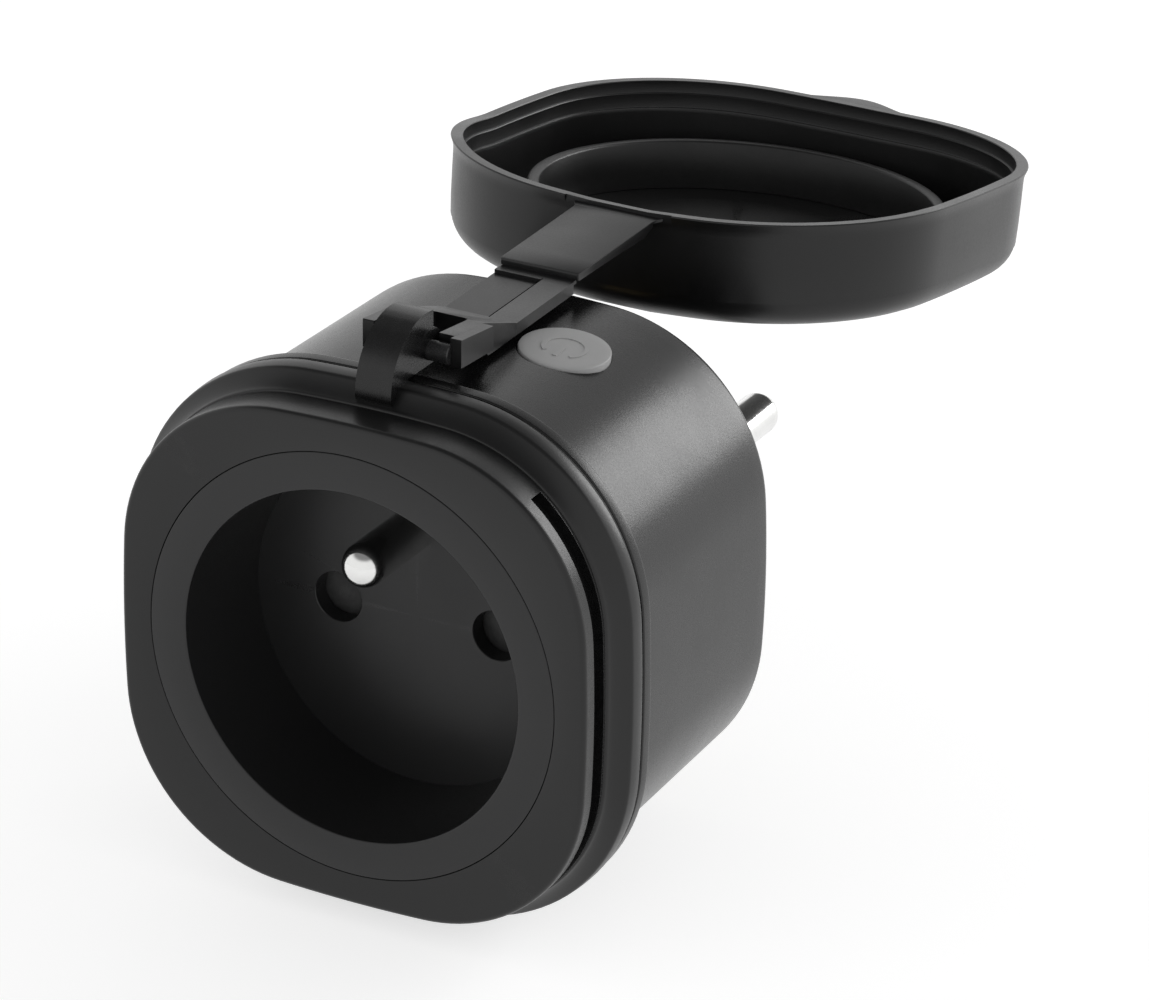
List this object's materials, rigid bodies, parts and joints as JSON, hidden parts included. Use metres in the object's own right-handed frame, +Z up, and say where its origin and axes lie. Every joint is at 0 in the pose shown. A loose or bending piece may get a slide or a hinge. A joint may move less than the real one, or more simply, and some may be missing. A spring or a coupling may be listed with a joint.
{
  "type": "smart plug",
  "caption": "Outdoor smart plug: squared adapter body with a recessed earthed socket in front, a round two-pin plug behind, a power button on top and a strap-hinged splash lid.",
  "frame": {"origin": "centre of the plug face, where the pins leave the round plug boss", "axes": "+Y along the plug pins towards the wall, +X to the right seen from the front, +Z up"},
  "size_m": [0.06, 0.12, 0.0651],
  "materials": {
    "cover_plastic": "fine satin",
    "socket_plastic": "fine satin",
    "housing_plastic": "fine spark texture",
    "plug_plastic": "satin",
    "plated_metal": "nickel plated, lightly brushed",
    "contact_brass": "stamped",
    "seal_rubber": "matt",
    "inner_plastic": "satin",
    "shutter_plastic": "satin",
    "spring_steel": "drawn wire",
    "circuit_board": "solder mask",
    "relay_case": "satin",
    "module_wrap": "tape wrap",
    "capacitor_sleeve": "shrink sleeve",
    "fuse_body": "ceramic",
    "varistor_coat": "dipped",
    "shield_module": "tin shield",
    "switch_case": "stamped",
    "switch_key": "satin",
    "led_lens": "clear",
    "button_silicone": "silicone",
    "screw_steel": "zinc plated",
    "hinge_steel": "moulded rod",
    "strap_plastic": "satin",
    "lid_plastic": "satin",
    "lid_seal": "matt"
  },
  "bodies": {
    "base": {"front_cover": "cover_plastic", "socket_cup": "socket_plastic", "socket_earth_pin": "plated_metal", "cover_seal": "seal_rubber", "rear_housing": "housing_plastic", "plug_boss": "plug_plastic", "plug_pin_left": "plated_metal", "plug_pin_right": "plated_metal", "earth_clips": "contact_brass", "earth_sleeve": "contact_brass", "earth_bar": "contact_brass", "contact_carrier": "inner_plastic", "line_contact": "contact_brass", "neutral_contact": "contact_brass", "shutter_spring": "spring_steel", "main_board": "circuit_board", "relay": "relay_case", "power_module": "module_wrap", "capacitors": "capacitor_sleeve", "fuse": "fuse_body", "varistor": "varistor_coat", "wifi_module": "shield_module", "button_board": "circuit_board", "switch_body": "switch_case", "status_led": "led_lens", "button_gasket": "seal_rubber", "housing_screws": "screw_steel", "hinge_pin": "hinge_steel"},
    "link": {"strap_link": "strap_plastic"},
    "plate": {"strap_plate": "strap_plastic"},
    "lid": {"lid_shell": "lid_plastic", "lid_ring": "lid_seal"},
    "button": {"button_cap": "button_silicone"},
    "switch_key": {"switch_plunger": "switch_key"},
    "shutter": {"pin_shutter": "shutter_plastic"}
  },
  "joints": [
    {"name": "strap_swing", "type": "hinge", "parent": "base", "child": "link", "pos_m": [0, -0.0438, 0.0293], "axis": [1, 0, 0], "range_deg": [0, 171.27]},
    {"name": "strap_fold", "type": "hinge", "parent": "link", "child": "plate", "pos_m": [0, -0.0172, 0.02805], "axis": [1, 0, 0], "range_deg": [0, 169.02]},
    {"name": "lid_tilt", "type": "hinge", "parent": "plate", "child": "lid", "pos_m": [0, 0.0004, 0.0281], "axis": [1, 0, 0], "range_deg": [-62.49, 0]},
    {"name": "button_press", "type": "slide", "parent": "base", "child": "button", "axis": [-0.0906, 0, -0.9959], "range_m": [0, 0.0005], "stiffness_N_per_m": 1500, "springref_m": -0.0006},
    {"name": "switch_stroke", "type": "slide", "parent": "base", "child": "switch_key", "axis": [-0.0906, 0, -0.9959], "range_m": [0, 0.0003]},
    {"name": "shutter_slide", "type": "slide", "parent": "base", "child": "shutter", "axis": [1, 0, 0], "range_m": [0, 0.006], "stiffness_N_per_m": 150, "springref_m": -0.003, "deforming": ["shutter_spring"]}
  ],
  "couplings": [
    {"joint": "strap_fold", "follows": "strap_swing", "ratio": 0.98683},
    {"joint": "lid_tilt", "follows": "strap_swing", "ratio": -0.36487},
    {"joint": "switch_stroke", "follows": "button_press", "ratio": 0.6}
  ]
}
